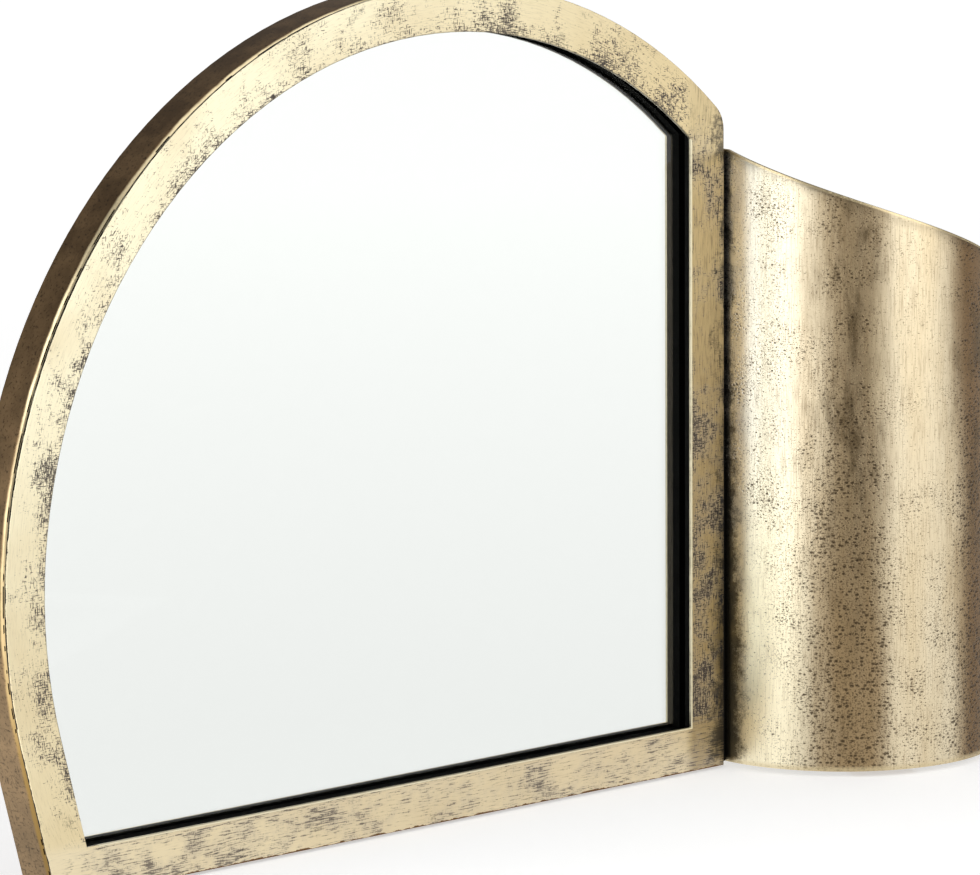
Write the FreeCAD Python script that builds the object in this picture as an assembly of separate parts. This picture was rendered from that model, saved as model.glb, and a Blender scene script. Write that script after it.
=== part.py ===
"""Table mirror: an arched sheet-metal frame with a half-round rolled leaf at its side.

Millimetres. The mirror faces -Y, +Z is up, and the leaf stands on the +X side.
The origin is on the table, under the middle of the overall box.
"""
import FreeCAD, Part
import math
import os

Vec = FreeCAD.Vector
Y_AXIS = Vec(0, 1, 0)

# Frame outline, measured from the centre of its arc
OPENING_R = 180.0      # arc of the mirror opening
FACE_WIDTH = 16.6      # opening edge to the frame's outside
SIDE_REACH = 138.9     # arc centre to the frame's straight right side
BASE_DROP = 102.2      # arc centre down to the frame's underside
LEFT_LEAN = 15.0       # the arc runs out straight this many degrees below its middle
FRAME_DEPTH = 18.2
CORNER_R = 12.0        # rounded outside corner at the top right

# Frame sheet and strip
BAND_T = 2.0
FLANGE_W = 5.0         # front of the band, turned in behind the ring
LIP_R = 2.6            # bend between the band's side and its flange
BACK_BEVEL = 0.8       # rubbed back edge of the band
RING_T = 1.2
RING_SLIT = 0.4        # dark slit between the ring's back and the flange
TACK = 2.0             # leg of the welds behind the ring
TACK_L = 6.0
CORNER_WELD = 3.0
WELD_GAP = 0.05

# Glazing
TAPE_T = 4.2
TAPE_W = 3.5
TAPE_SETBACK = 2.0     # tape edge behind the opening edge
TAPE_BUTT = 0.2        # gap between two lengths of tape
GLASS_T = 3.0
BOARD_T = 3.0
BLOCK_L = 16.0         # rubber blocks round the glass edge

# Turn buttons on welded tabs
TAB_REACH = 8.4        # how far a tab stands in from the band
TAB_L = 14.0
TAB_T = 1.5
TAB_LEG = 5.6          # welded leg, along the frame's depth
TAB_CLEAR = 0.4        # tab to the glass edge
SEAT_ROOM = 0.03       # flat piece off the curved band, at its ends
BUTTON_T = 1.2
BUTTON_SIDE = 0.7      # button edge inside the tab edge
NOSE_REACH = 14.0      # pivot to the tip of the nose
RIDGE_H = 0.8          # finger ridge across the nose
RIDGE_W = 2.4
RUN_GAP = 0.3          # turning faces stay this far apart
PIVOT_R = 1.5
PIVOT_FIT = 0.05       # radial running clearance
PIVOT_HEAD_R = 2.8
PIVOT_HEAD_H = 1.8
PIVOT_TAIL = 0.8       # screw end past the tab

# Half-round leaf
SEAM_GAP = 1.8         # crevice between frame and leaf
LEAF_R = 59.0          # outside radius
LEAF_T = 1.5
LEAF_LIFT = 1.0        # leaf's lower edge above the frame's underside
LEAF_H = 227.8         # height of the sheet at the seam
RIM_SLOPE = 0.29       # fall of the rim per millimetre round the leaf
RIM_BEND = 0.0005      # growth of that fall, per millimetre squared
RIM_BEVEL = 0.4        # rubbed edges along the rim
ROLL_STEPS = 16        # sections that shape the half round
STRIP_INSET = 1.5      # black strip behind the front and back of the crevice
STRIP_TOP_INSET = 2.0
BOLT_R = 1.5
BOLT_CLEAR = 0.1       # radial clearance in the leaf, the strip and the band
BOLT_COUNT = 3
BOLT_INSET = 30.0      # outer leaf screws from the ends of the seam
BOLT_HEAD_R = 2.8
BOLT_HEAD_H = 1.8
BOLT_TAIL = 1.0
WASHER_R = 3.5
WASHER_T = 0.5
NUT_AF = 5.5           # across flats
NUT_T = 2.4

# Feet
PAD_T = 1.0
PAD_L = 40.0
PAD_SETBACK = 7.0      # pads out of sight behind the frame's front
PAD_INSET = 2.0        # pad edge inside the base bar's back edge
FOOT_T = 1.5
FOOT_L = 24.0
FOOT_W = 25.0
FOOT_PAD_R = 5.0
FOOT_PAD_INSET = 1.0   # pad edge inside the foot plate's free end

# Slot in the screw heads
SLOT_W = 0.8
SLOT_D = 0.9

# Places round the frame: arc pieces by angle, base pieces by x
TAB_ANGLES = (70.0, 128.0, 186.0)
TAB_BASE = (-114.0, 86.0)
BLOCK_ANGLES = (98.0, 157.0)
BLOCK_BASE = (-74.0, 46.0)
TACK_ANGLES = (54.0, 84.0, 114.0, 143.0, 168.0, 192.0)
TACK_BASE = (-135.0, -14.0, 110.0)
PAD_BASE = (-125.0, 95.0)
FOOT_ANGLES = (62.0, 150.0)

# Derived sizes
outer_r = OPENING_R + FACE_WIDTH
arc_z = PAD_T + BASE_DROP
inner_r = outer_r - BAND_T
arc_seat = max(TAB_L, BLOCK_L) ** 2 / (8 * inner_r) + SEAT_ROOM
glass_edge = BAND_T + TAB_REACH + TAB_CLEAR
pivot_in = BAND_T + (TAB_REACH + arc_seat) / 2
lean = math.radians(LEFT_LEAN)
band_y = RING_T + RING_SLIT
glass_y = RING_T + TAPE_T
board_y = glass_y + GLASS_T
back_y = board_y + BOARD_T
button_y = back_y + RUN_GAP
head_y = button_y + BUTTON_T + RUN_GAP
leaf_x = SIDE_REACH + SEAM_GAP
leaf_z = PAD_T + LEAF_LIFT
leaf_cx = leaf_x + LEAF_R
bolt_y = FRAME_DEPTH / 2
hub_x = SIDE_REACH - CORNER_R
side_top = BASE_DROP + math.sqrt((outer_r - CORNER_R) ** 2 - hub_x ** 2)
seam_top = min(side_top, LEAF_LIFT + LEAF_H)
bolt_pitch = (seam_top - 2 * BOLT_INSET) / (BOLT_COUNT - 1)
bolt_rises = [BOLT_INSET + bolt_pitch * i for i in range(BOLT_COUNT)]
bolt_heights = [PAD_T + rise for rise in bolt_rises]
between_bolts = [rise + bolt_pitch / 2 for rise in bolt_rises[:-1]]
centre_shift = Vec((outer_r - leaf_x - 2 * LEAF_R) / 2, (LEAF_R - FRAME_DEPTH) / 2, 0)


def straight_x(inset, z):
    """Place of the arc's straight run at a height, the given distance inside the frame."""
    return -((outer_r - inset) + (z - arc_z) * math.sin(lean)) / math.cos(lean)


def outline(inset):
    """Closed frame outline, the given distance inside the outside of the frame."""
    r = outer_r - inset
    side = SIDE_REACH - inset
    base = PAD_T + inset
    corner = CORNER_R - inset
    left = Vec(straight_x(inset, base), 0, base)
    knee = Vec(-r * math.cos(lean), 0, arc_z - r * math.sin(lean))
    right = Vec(side, 0, base)
    top = Vec(0, 0, arc_z + r)
    if corner > 0:
        hub = Vec(side - corner, 0, 0)
        hub.z = arc_z + math.sqrt((r - corner) ** 2 - hub.x ** 2)
        turn = math.atan2(hub.z - arc_z, hub.x)
        low = Vec(side, 0, hub.z)
        mid = hub + Vec(math.cos(turn / 2), 0, math.sin(turn / 2)) * corner
        high = hub + Vec(math.cos(turn), 0, math.sin(turn)) * corner
        bend = [Part.Arc(low, mid, high).toShape()]
    else:
        low = high = Vec(side, 0, arc_z + math.sqrt(r ** 2 - side ** 2))
        bend = []
    edges = [Part.LineSegment(left, right).toShape(), Part.LineSegment(right, low).toShape()]
    edges += bend + [Part.Arc(high, top, knee).toShape(), Part.LineSegment(knee, left).toShape()]
    return Part.Wire(edges)


def plate(inset, front, depth):
    """Solid of the inset outline, from the given depth behind the front."""
    return Part.Face(outline(inset)).extrude(Y_AXIS * depth).translated(Y_AXIS * front)


def box(x, y, z):
    """Box from three (low, high) pairs."""
    return Part.makeBox(x[1] - x[0], y[1] - y[0], z[1] - z[0], Vec(x[0], y[0], z[0]))


def rod(radius, length, start, direction):
    return Part.makeCylinder(radius, length, start, direction)


def on_arc(angle):
    """Seat on the arc: a point on the outside and the turn from the base bar to it."""
    a = math.radians(angle)
    point = Vec(outer_r * math.cos(a), 0, arc_z + outer_r * math.sin(a))
    return point, math.degrees(math.atan2(-math.cos(a), -math.sin(a)))


def on_side(height):
    return Vec(SIDE_REACH, 0, PAD_T + height), -90.0


def on_base(x):
    return Vec(x, 0, PAD_T), 0.0


def placed(shape, seat):
    """Shape drawn standing on the base bar, moved to a seat round the frame."""
    point, turn = seat
    return shape.rotated(Vec(), Y_AXIS, turn).translated(point)


def save(name, *solids):
    """One file for each piece, or for each set of like pieces."""
    group = Part.makeCompound([s.translated(centre_shift) for s in solids])
    group.exportStep("parts/" + name + ".step")


def screw(shank_r, length, head_r, head_h):
    """Cheese-head screw along +Y with its head's underside at the origin, head towards +Y."""
    head = rod(head_r, head_h, Vec(), Y_AXIS)
    head = head.cut(box((-head_r, head_r), (head_h - SLOT_D, head_h), (-SLOT_W / 2, SLOT_W / 2)))
    return head.fuse(rod(shank_r, length, Vec(), Y_AXIS * -1))


os.makedirs("parts", exist_ok=True)

# Band: one strip, its front turned in as a flange, parted where its ends meet the base bar
band_depth = FRAME_DEPTH - band_y
band = plate(0, band_y, band_depth).cut(plate(FLANGE_W, band_y, band_depth))
band = band.cut(plate(BAND_T, band_y + BAND_T, band_depth))
middle = Part.Face(outline(BAND_T / 2))
front_edges = []
back_edges = []
for edge in band.Edges:
    point = edge.valueAt((edge.FirstParameter + edge.LastParameter) / 2)
    if middle.isInside(Vec(point.x, 0, point.z), 1e-6, True):
        continue
    if abs(point.y - FRAME_DEPTH) < 1e-6:
        back_edges.append(edge)
    elif abs(point.y - band_y) < 1e-6:
        front_edges.append(edge)
band = band.makeChamfer(BACK_BEVEL, back_edges)
band = band.makeFillet(LIP_R, [e for e in band.Edges if any(e.isSame(f) for f in front_edges)])
bar_top = PAD_T + BAND_T
wide = (-2 * outer_r, 2 * outer_r)
below = box(wide, (-1, FRAME_DEPTH + 1), (0, bar_top))
below = below.fuse(box(wide, (-1, band_y + BAND_T), (0, PAD_T + FLANGE_W)))
arc_band = band.cut(below)
base_bar = band.common(below)
bolt_hole_r = BOLT_R + BOLT_CLEAR
for z in bolt_heights:
    hole = rod(bolt_hole_r, BAND_T + 2, Vec(SIDE_REACH - BAND_T - 1, bolt_y, z), Vec(1, 0, 0))
    arc_band = arc_band.cut(hole)
save("arc_band", arc_band)
save("base_bar", base_bar)

# Face ring: flat sheet in front of the band, with the mirror opening cut in it
ring = plate(0, 0, RING_T).cut(plate(FACE_WIDTH, 0, RING_T))
save("face_ring", ring)

# Welds that hold the ring, in the corner between its back and the flange's edge
tack_low = FLANGE_W + WELD_GAP
tack_points = [Vec(-TACK_L / 2, RING_T, tack_low), Vec(-TACK_L / 2, RING_T + TACK, tack_low)]
tack_points += [Vec(-TACK_L / 2, RING_T, tack_low + TACK)]
tack = Part.Face(Part.makePolygon(tack_points + tack_points[:1])).extrude(Vec(TACK_L, 0, 0))
tack_seats = [on_arc(a) for a in TACK_ANGLES] + [on_side(z) for z in between_bolts[::2]]
tack_seats += [on_base(x) for x in TACK_BASE]
save("ring_tacks", *[placed(tack, seat) for seat in tack_seats])

# Welds in the two corners where the band's ends meet the base bar
left_corner = Vec(straight_x(BAND_T, bar_top), 0, bar_top)
left_up = Vec(straight_x(BAND_T, bar_top + CORNER_WELD), 0, bar_top + CORNER_WELD)
right_corner = Vec(SIDE_REACH - BAND_T, 0, bar_top)
right_up = right_corner + Vec(0, 0, CORNER_WELD)
welds = []
for corner, up, along in ((left_corner, left_up, 1), (right_corner, right_up, -1)):
    rim = [corner, corner + Vec(along * CORNER_WELD, 0, 0), up, corner]
    bead = Part.Face(Part.makePolygon(rim)).extrude(Y_AXIS * (FRAME_DEPTH - 2 * glass_y))
    welds.append(bead.translated(Y_AXIS * glass_y))
save("corner_welds", *welds)

# Glazing tape: three lengths behind the ring, butted at the two lower corners
tape_out = FACE_WIDTH - TAPE_SETBACK - TAPE_W
tape_in = FACE_WIDTH - TAPE_SETBACK
tape = plate(tape_out, RING_T, TAPE_T).cut(plate(tape_in, RING_T, TAPE_T))
deep = (0, FRAME_DEPTH)
low_zone = box(wide, deep, (0, PAD_T + tape_in))
high_zone = box(wide, deep, (PAD_T + tape_in + TAPE_BUTT, 3 * outer_r))
side_x = SIDE_REACH - tape_in
side_end = arc_z + math.sqrt((outer_r - tape_in) ** 2 - side_x ** 2)
side_zone = box((side_x, 2 * outer_r), deep, (0, side_end))
butt_zone = box((side_x, 2 * outer_r), deep, (0, side_end + TAPE_BUTT))
tape_high = tape.common(high_zone)
save("glazing_tape", tape.common(low_zone), tape_high.common(side_zone), tape_high.cut(butt_zone))

# Mirror glass and the board behind it, dropped in from the back
save("mirror_glass", plate(glass_edge, glass_y, GLASS_T))
save("backing_board", plate(glass_edge, board_y, BOARD_T))

# Rubber blocks between the band and the edge of the glass and board
block = box((-BLOCK_L / 2, BLOCK_L / 2), (glass_y, back_y), (BAND_T + arc_seat, glass_edge))
block_seats = [on_arc(a) for a in BLOCK_ANGLES] + [on_side(between_bolts[0])]
block_seats += [on_base(x) for x in BLOCK_BASE]
save("edge_blocks", *[placed(block, seat) for seat in block_seats])

# Tabs: bent brackets welded in the band, level with the back of the board
tab_low = BAND_T + arc_seat
tab_x = (-TAB_L / 2, TAB_L / 2)
tab = box(tab_x, (back_y - TAB_T, back_y), (tab_low, BAND_T + TAB_REACH))
tab = tab.fuse(box(tab_x, (back_y - TAB_LEG, back_y), (tab_low, tab_low + TAB_T))).removeSplitter()
free_corners = []
for edge in tab.Edges:
    at_tip = abs(edge.CenterOfMass.z - BAND_T - TAB_REACH) < 1e-6
    if at_tip and abs(edge.Length - TAB_T) < 1e-6:
        free_corners.append(edge)
tab = tab.makeChamfer(TAB_T, free_corners)
pivot_hole_r = PIVOT_R + PIVOT_FIT
tab = tab.cut(rod(pivot_hole_r, TAB_T, Vec(0, back_y - TAB_T, pivot_in), Y_AXIS))
tab_seats = [on_arc(a) for a in TAB_ANGLES] + [on_side(between_bolts[len(between_bolts) // 2])]
tab_seats += [on_base(x) for x in TAB_BASE]
save("button_tabs", *[placed(tab, seat) for seat in tab_seats])

# Turn buttons: flat clips with a clipped nose and a finger ridge, each turning on its screw
button_r = (TAB_REACH - arc_seat) / 2 - BUTTON_SIDE
nose_z = pivot_in + NOSE_REACH - button_r
button = rod(button_r, BUTTON_T, Vec(0, button_y, pivot_in), Y_AXIS)
tip_z = pivot_in + NOSE_REACH
nose_rim = [(-button_r, pivot_in), (button_r, pivot_in), (button_r, nose_z), (button_r / 2, tip_z)]
nose_rim += [(-button_r / 2, tip_z), (-button_r, nose_z), (-button_r, pivot_in)]
nose = Part.Face(Part.makePolygon([Vec(x, button_y, z) for x, z in nose_rim]))
button = button.fuse(nose.extrude(Y_AXIS * BUTTON_T))
ridge_y = button_y + BUTTON_T
ridge_foot = Vec(-button_r, ridge_y, nose_z - RIDGE_W / 2)
ridge_top = Vec(-button_r, ridge_y + RIDGE_H, nose_z)
ridge_rim = [ridge_foot, ridge_top, ridge_foot + Vec(0, 0, RIDGE_W), ridge_foot]
ridge = Part.Face(Part.makePolygon(ridge_rim)).extrude(Vec(2 * button_r, 0, 0))
button = button.fuse(ridge).removeSplitter()
button = button.cut(rod(pivot_hole_r, BUTTON_T, Vec(0, button_y, pivot_in), Y_AXIS))
for number, seat in enumerate(tab_seats, 1):
    save("turn_button_%d" % number, placed(button, seat))

# Pivot screws, threaded into the tabs
pivot_l = head_y - back_y + TAB_T + PIVOT_TAIL
pivot = screw(PIVOT_R, pivot_l, PIVOT_HEAD_R, PIVOT_HEAD_H).translated(Vec(0, head_y, pivot_in))
save("pivot_screws", *[placed(pivot, seat) for seat in tab_seats])


def rim_z(arc_length):
    """Height of the leaf's rim after this much sheet, counted from the seam."""
    return leaf_z + LEAF_H - RIM_SLOPE * arc_length - RIM_BEND * arc_length ** 2


def sheet_section(turn):
    """Upright section of the rolled sheet at an angle round from the seam, bevelled at its rim."""
    ray = Vec(-math.cos(turn), -math.sin(turn), 0)
    top = rim_z(LEAF_R * turn)
    inside = LEAF_R - LEAF_T
    rim = [(inside, leaf_z), (LEAF_R, leaf_z), (LEAF_R, top - RIM_BEVEL), (LEAF_R - RIM_BEVEL, top)]
    rim += [(inside + RIM_BEVEL, top), (inside, top - RIM_BEVEL)]
    points = [Vec(leaf_cx, 0, z) + ray * r for r, z in rim]
    return Part.makePolygon(points + points[:1])


# Leaf: rolled sheet, straight beside the frame, half round, and straight at the far edge
turns = [math.pi * step / ROLL_STEPS for step in range(ROLL_STEPS + 1)]
roll = Part.makeLoft([sheet_section(turn) for turn in turns], True, False)
near_end = Part.Face(sheet_section(0))
flange = near_end.extrude(Y_AXIS * FRAME_DEPTH)
far_end = sheet_section(math.pi)
round_l = math.pi * LEAF_R
far_fall = rim_z(round_l) - rim_z(round_l + FRAME_DEPTH)
far_points = [v.Point for v in far_end.OrderedVertexes]
last_points = []
for point in far_points:
    drop = far_fall if point.z > leaf_z + RIM_BEVEL else 0
    last_points.append(point + Vec(0, FRAME_DEPTH, -drop))
last_end = Part.makePolygon(last_points + last_points[:1])
far_leg = Part.makeLoft([far_end, last_end], True, True)
leaf = roll.fuse(flange).fuse(far_leg).removeSplitter()
for z in bolt_heights:
    leaf = leaf.cut(rod(bolt_hole_r, LEAF_T, Vec(leaf_x, bolt_y, z), Vec(1, 0, 0)))
save("curved_leaf", leaf)

# Black strip in the crevice, clamped by the leaf screws
strip_y = (STRIP_INSET, FRAME_DEPTH - STRIP_INSET)
strip = box((SIDE_REACH, leaf_x), strip_y, (leaf_z, rim_z(0) - STRIP_TOP_INSET))
for z in bolt_heights:
    strip = strip.cut(rod(bolt_hole_r, SEAM_GAP, Vec(SIDE_REACH, bolt_y, z), Vec(1, 0, 0)))
save("seam_strip", strip)

# Leaf fasteners: screws from inside the leaf, washers, and nuts inside the band
washer = rod(WASHER_R, WASHER_T, Vec(), Y_AXIS).cut(rod(bolt_hole_r, WASHER_T, Vec(), Y_AXIS))
hexagon = []
for side in range(7):
    turn = math.radians(60 * side)
    hexagon.append(Vec(math.cos(turn), 0, math.sin(turn)) * (NUT_AF / math.sqrt(3)))
nut = Part.Face(Part.makePolygon(hexagon)).extrude(Y_AXIS * NUT_T)
nut = nut.cut(rod(BOLT_R + WELD_GAP, NUT_T, Vec(), Y_AXIS))
bolt_l = WASHER_T + LEAF_T + SEAM_GAP + BAND_T + NUT_T + BOLT_TAIL
bolt = screw(BOLT_R, bolt_l, BOLT_HEAD_R, BOLT_HEAD_H)
washer_x = leaf_x + LEAF_T
nut_x = SIDE_REACH - BAND_T - NUT_T


def crosswise(shape, x):
    """Fastener drawn along +Y, turned along +X and set at each leaf screw."""
    turned = shape.rotated(Vec(), Vec(0, 0, 1), -90)
    return [turned.translated(Vec(x, bolt_y, z)) for z in bolt_heights]


save("leaf_screws", *crosswise(bolt, washer_x + WASHER_T))
save("leaf_washers", *crosswise(washer, washer_x))
save("leaf_nuts", *crosswise(nut, nut_x))

# Foot plates welded inside the leaf's lower edge, and felt pads under plates and base bar
bore_r = LEAF_R - LEAF_T - WELD_GAP
bore = Part.makeCylinder(bore_r, FOOT_T, Vec(leaf_cx, 0, leaf_z), Vec(0, 0, 1))
feet = []
pads = []
for angle in FOOT_ANGLES:
    a = math.radians(180 + angle)
    slab = box((LEAF_R - LEAF_T - FOOT_W, LEAF_R), (-FOOT_L / 2, FOOT_L / 2), (leaf_z, leaf_z + FOOT_T))
    slab = slab.rotated(Vec(), Vec(0, 0, 1), 180 + angle).translated(Vec(leaf_cx, 0, 0))
    feet.append(slab.common(bore))
    reach = LEAF_R - LEAF_T - FOOT_W + FOOT_PAD_INSET + FOOT_PAD_R
    spot = Vec(leaf_cx + reach * math.cos(a), reach * math.sin(a), 0)
    pads.append(Part.makeCylinder(FOOT_PAD_R, leaf_z, spot, Vec(0, 0, 1)))
for x in PAD_BASE:
    pad_y = (PAD_SETBACK, FRAME_DEPTH - PAD_INSET)
    pads.append(box((x - PAD_L / 2, x + PAD_L / 2), pad_y, (0, PAD_T)))
save("leaf_foot_plates", *feet)
save("felt_pads", *pads)
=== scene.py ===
"""Looks of the table mirror: worn antique brass, back-silvered glass, and the parts behind it."""
import bpy
import math
from mathutils import Matrix, Vector


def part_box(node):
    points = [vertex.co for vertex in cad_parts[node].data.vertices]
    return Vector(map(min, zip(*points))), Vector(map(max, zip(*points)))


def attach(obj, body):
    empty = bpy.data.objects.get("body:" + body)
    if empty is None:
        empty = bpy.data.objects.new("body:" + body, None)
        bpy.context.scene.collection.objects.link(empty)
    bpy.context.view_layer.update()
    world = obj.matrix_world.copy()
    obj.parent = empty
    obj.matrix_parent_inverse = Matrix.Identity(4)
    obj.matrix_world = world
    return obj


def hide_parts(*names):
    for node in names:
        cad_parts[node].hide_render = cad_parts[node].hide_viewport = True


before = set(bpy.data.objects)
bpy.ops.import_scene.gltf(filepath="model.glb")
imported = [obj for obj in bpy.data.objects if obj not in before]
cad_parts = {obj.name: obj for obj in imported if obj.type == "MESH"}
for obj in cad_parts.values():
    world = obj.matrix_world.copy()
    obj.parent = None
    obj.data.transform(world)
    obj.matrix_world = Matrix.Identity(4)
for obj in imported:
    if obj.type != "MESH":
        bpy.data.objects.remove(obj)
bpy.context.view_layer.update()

# Face ring: flat brass sheet with the mirror opening cut in it, brushed along each run and toned.
# It is tacked to the band from behind. Its back is painted black, which the glass shows beside it.
MM = 0.001
OUTER_R = 196.6 * MM
FACE_WIDTH = 16.6 * MM
RING_RUB = 0.2 * MM          # rounding of the rubbed edges
PAINT_EDGE = 0.1 * MM        # paint that reaches round the back edge
HIGHLIGHT_EDGE = 0.6 * MM       # width of the painted highlight at the straight inner edges
BRUSH_GAP = 0.5 * MM         # between brush lines, wider than on real brass so that they show
STROKE_L, STROKE_T = 2.2 * MM, 0.45 * MM    # length and thickness of the toned strokes
BASE_SHIFT = 310 * MM        # places the toned patches along the base
MERGE = 0.005 * MM           # points this close together are one point
FLAT = math.radians(0.5)     # faces this near to one plane are one face
SHARP = math.radians(50)     # turn of an edge that gets rubbed round
SMOOTH = math.radians(35)    # turn up to which a surface is shaded as round
ring_low, ring_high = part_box("face_ring")
ARC_CENTRE = Vector((ring_low.x + OUTER_R, ring_low.y, ring_high.z - OUTER_R))
OPENING_R = OUTER_R - FACE_WIDTH
SIDE = ring_high.x - ARC_CENTRE.x
BASE = ring_low.z - ARC_CENTRE.z


def linear(colour):
    """An sRGB hex colour as linear RGBA."""
    parts = [int(colour[i:i + 2], 16) / 255 for i in (1, 3, 5)]
    return [p / 12.92 if p <= 0.04045 else ((p + 0.055) / 1.055) ** 2.4 for p in parts] + [1.0]


def add(tree, kind, inputs=None, out=0, **settings):
    """One node with its settings, its inputs set or linked. Gives the output that is asked for."""
    node = tree.nodes.new("ShaderNode" + kind)
    for name, value in settings.items():
        setattr(node, name, value)
    for name, value in (inputs or {}).items():
        if isinstance(value, bpy.types.NodeSocket):
            tree.links.new(value, node.inputs[name])
        else:
            node.inputs[name].default_value = value
    return node if out is None else node.outputs[out]


def new_material(name, **values):
    """A node material whose shader has these values. Gives the material, its tree and shader."""
    material = bpy.data.materials.new(name)
    material.use_nodes = True
    tree = material.node_tree
    tree.nodes.clear()
    shader = add(tree, "BsdfPrincipled", out=None)
    for socket, value in values.items():
        shader.inputs[socket.replace("_", " ")].default_value = value
    add(tree, "OutputMaterial", {"Surface": shader.outputs[0]}, None)
    return material, tree, shader


def finish_shader(tree, shader, sockets):
    """Links what the nodes worked out to the shader."""
    for name, value in sockets.items():
        tree.links.new(value, shader.inputs[name])


def worn_copy(node, name, width):
    """New piece from a node's mesh, merged, with its sharp edges rubbed round by a width."""
    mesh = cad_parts[node].data.copy()
    mesh.materials.clear()
    piece = bpy.data.objects.new(name, mesh)
    bpy.context.scene.collection.objects.link(piece)
    bpy.ops.object.select_all(action="DESELECT")
    piece.select_set(True)
    bpy.context.view_layer.objects.active = piece
    bpy.ops.object.mode_set(mode="EDIT")
    bpy.ops.mesh.select_all(action="SELECT")
    bpy.ops.mesh.customdata_custom_splitnormals_clear()
    bpy.ops.mesh.remove_doubles(threshold=MERGE)
    bpy.ops.mesh.dissolve_limited(angle_limit=FLAT)
    bpy.ops.object.mode_set(mode="OBJECT")
    if width:
        bevel = piece.modifiers.new("rubbed edges", "BEVEL")
        bevel.width = width
        bevel.segments = 2
        bevel.limit_method = "ANGLE"
        bevel.angle_limit = SHARP
        bpy.ops.object.modifier_apply(modifier=bevel.name)
    bpy.ops.object.shade_smooth_by_angle(angle=SMOOTH)
    if width:
        flat = piece.modifiers.new("flat faces stay flat", "WEIGHTED_NORMAL")
        flat.keep_sharp = True
        bpy.ops.object.modifier_apply(modifier=flat.name)
    return piece


def mount(piece, material, body, node):
    """Gives a new piece its material and its body, and hides the node that it stands for."""
    piece.data.materials.append(material)
    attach(piece, body)
    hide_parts(node)


def crossed(tree, vector, length, thickness):
    """Noise in short strokes of the given size, some across and some upright."""
    strokes = []
    for size in ((thickness, length), (length, thickness)):
        stretched = add(tree, "Mapping", {"Vector": vector, "Scale": (1 / size[0], 1 / size[1], 1)})
        strokes.append(add(tree, "TexNoise", {"Vector": stretched, "Scale": 1.0, "Detail": 2.0,
                                              "Roughness": 0.6}))
    return add(tree, "Math", {0: strokes[0], 1: strokes[1]}, operation="MAXIMUM")


# Antique brass, brushed and rubbed back: pale gold metal with a soft gloss, painted highlight and
# shade across it, grey toning left in the brush lines and in crossed strokes, and blue-black beside
# the leaf.
ring_brass, tree, shader = new_material("antique_brass_brushed_ring")
place = add(tree, "TexCoord", out="Object")
centred = add(tree, "VectorMath", {0: place, 1: ARC_CENTRE}, operation="SUBTRACT")
spot = add(tree, "SeparateXYZ", {0: centred}, out=None)
x, z = spot.outputs["X"], spot.outputs["Z"]
flat = add(tree, "CombineXYZ", {0: x, 1: z})
reach = add(tree, "VectorMath", {0: flat}, out="Value", operation="LENGTH")
turn = add(tree, "Math", {0: z, 1: x}, operation="ARCTAN2")
along = add(tree, "Math", {0: turn, 1: OPENING_R}, operation="MULTIPLY")
polar = add(tree, "CombineXYZ", {0: along, 1: reach})
on_side = add(tree, "MapRange", {"Value": x, "From Min": SIDE - FACE_WIDTH - 4 * MM,
                                 "From Max": SIDE - FACE_WIDTH + 2 * MM},
              interpolation_type="SMOOTHSTEP")
on_base = add(tree, "MapRange", {"Value": z, "From Min": BASE + FACE_WIDTH + 4 * MM,
                                 "From Max": BASE + FACE_WIDTH - 2 * MM},
              interpolation_type="SMOOTHSTEP")
# Brush lines along each run: round the arc, up the side and along the base
runs = []
for vector, spacing in ((polar, (5 * MM, BRUSH_GAP)), (flat, (BRUSH_GAP, 9 * MM)),
                        (flat, (7 * MM, BRUSH_GAP))):
    stretched = add(tree, "Mapping", {"Vector": vector,
                                      "Scale": (1 / spacing[0], 1 / spacing[1], 1)})
    runs.append(add(tree, "TexNoise", {"Vector": stretched, "Scale": 1.0, "Detail": 3.0,
                                       "Roughness": 0.65}))
lines = add(tree, "Mix", {0: on_side, 2: runs[0], 3: runs[1]})
lines = add(tree, "Mix", {0: on_base, 2: lines, 3: runs[2]})
# Toning left in crossed strokes, thick in patches, towards the opening and down the side
straight = add(tree, "Math", {0: on_side, 1: on_base}, operation="MAXIMUM")
share = add(tree, "MapRange", {"Value": on_base, "To Min": 0.3, "To Max": 0.7})
strokes = add(tree, "Mix", {0: share, 2: crossed(tree, flat, STROKE_L, STROKE_T), 3: lines})
moved = add(tree, "VectorMath", {0: on_base, 1: (BASE_SHIFT, 0, 0), 2: place},
            operation="MULTIPLY_ADD")
patches = add(tree, "TexNoise", {"Vector": moved, "Scale": 1 / (14 * MM), "Detail": 5.0,
                                 "Roughness": 0.65})
inward = add(tree, "MapRange", {"Value": reach, "From Min": OUTER_R, "From Max": OPENING_R,
                                "To Min": -0.12, "To Max": 0.08})
toning = add(tree, "Math", {0: patches, 1: 0.9, 2: inward}, operation="MULTIPLY_ADD")
toning = add(tree, "Math", {0: on_base, 1: -0.08, 2: toning}, operation="MULTIPLY_ADD")
downward = add(tree, "MapRange", {"Value": z, "From Min": 110 * MM, "From Max": -90 * MM,
                                  "To Min": -0.12, "To Max": -0.02})
toning = add(tree, "Math", {0: on_side, 1: downward, 2: toning}, operation="MULTIPLY_ADD")
thick = add(tree, "MapRange", {"Value": toning, "From Min": 0.3, "From Max": 0.6,
                               "To Min": 0.65, "To Max": 0.465})
faint_top = add(tree, "Math", {0: thick, 1: 0.025}, operation="ADD")
faint = add(tree, "MapRange", {"Value": strokes, "From Min": thick, "From Max": faint_top,
                               "To Max": 0.5})
dark_top = add(tree, "Math", {0: thick, 1: 0.06}, operation="ADD")
strong = add(tree, "MapRange", {"Value": on_base, "To Min": 0.9, "To Max": 0.62})
dark = add(tree, "MapRange", {"Value": strokes, "From Min": faint_top, "From Max": dark_top,
                              "To Max": strong})
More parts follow.
